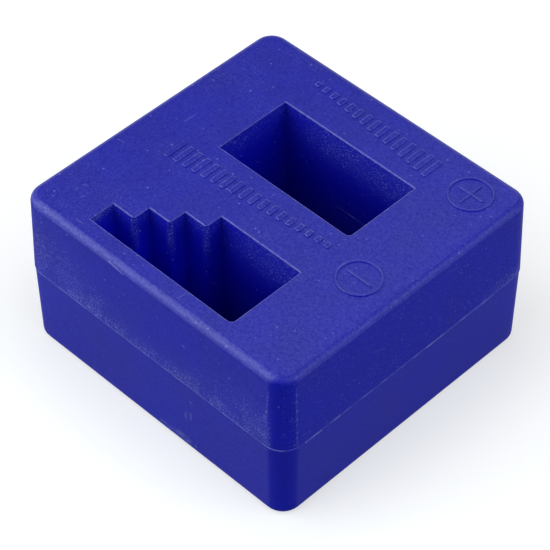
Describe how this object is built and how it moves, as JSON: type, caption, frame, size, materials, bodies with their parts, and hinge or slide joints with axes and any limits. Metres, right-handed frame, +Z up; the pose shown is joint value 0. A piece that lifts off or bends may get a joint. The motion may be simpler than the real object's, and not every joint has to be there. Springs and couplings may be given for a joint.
{
  "type": "demagnetizer block",
  "caption": "Hollow moulded block with a rectangular opening that magnetizes a small tool and a stepped opening that demagnetizes it, closed over ferrite magnets.",
  "frame": {"origin": "centre of the base, on the surface that the block stands on", "axes": "+X along the openings towards the polarity marks, +Y from the stepped opening to the rectangular one, +Z up out of the marked top"},
  "size_m": [0.052, 0.0502, 0.0282],
  "materials": {
    "shell_plastic": "deep blue moulded plastic, fine satin texture",
    "ferrite": "dark grey sintered ferrite, ground faces",
    "cured_glue": "translucent amber cured glue"
  },
  "bodies": {
    "root": {"upper_shell": "shell_plastic", "lower_shell": "shell_plastic", "centre_magnet": "ferrite", "outer_magnet": "ferrite", "centre_magnet_adhesive": "cured_glue", "outer_magnet_adhesive": "cured_glue", "seam_adhesive": "cured_glue"}
  },
  "joints": []
}
